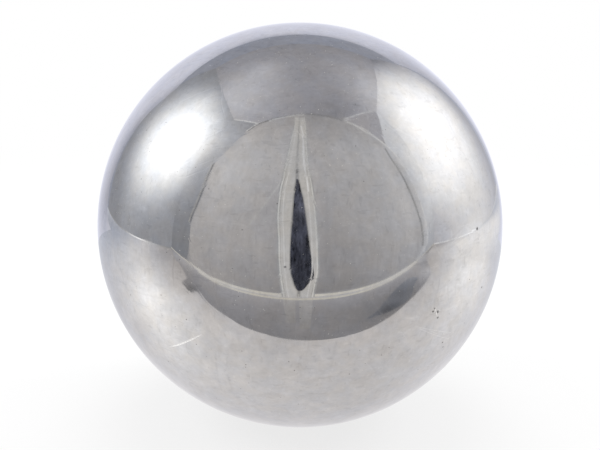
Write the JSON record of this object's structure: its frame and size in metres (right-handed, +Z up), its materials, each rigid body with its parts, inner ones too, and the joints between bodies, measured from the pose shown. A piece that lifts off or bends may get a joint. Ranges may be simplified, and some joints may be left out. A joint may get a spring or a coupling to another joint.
{
  "type": "steel ball",
  "caption": "Solid polished steel ball: a plain, true sphere with no bore, flat, seam or thread.",
  "frame": {"origin": "centre of the ball", "axes": "+Z up, away from what carries the ball; -Y faces the viewer; the ball is alike about every axis"},
  "size_m": [0.05, 0.05, 0.05],
  "materials": {
    "polished_steel": "polished"
  },
  "bodies": {
    "root": {"steel_ball": "polished_steel"}
  },
  "joints": []
}
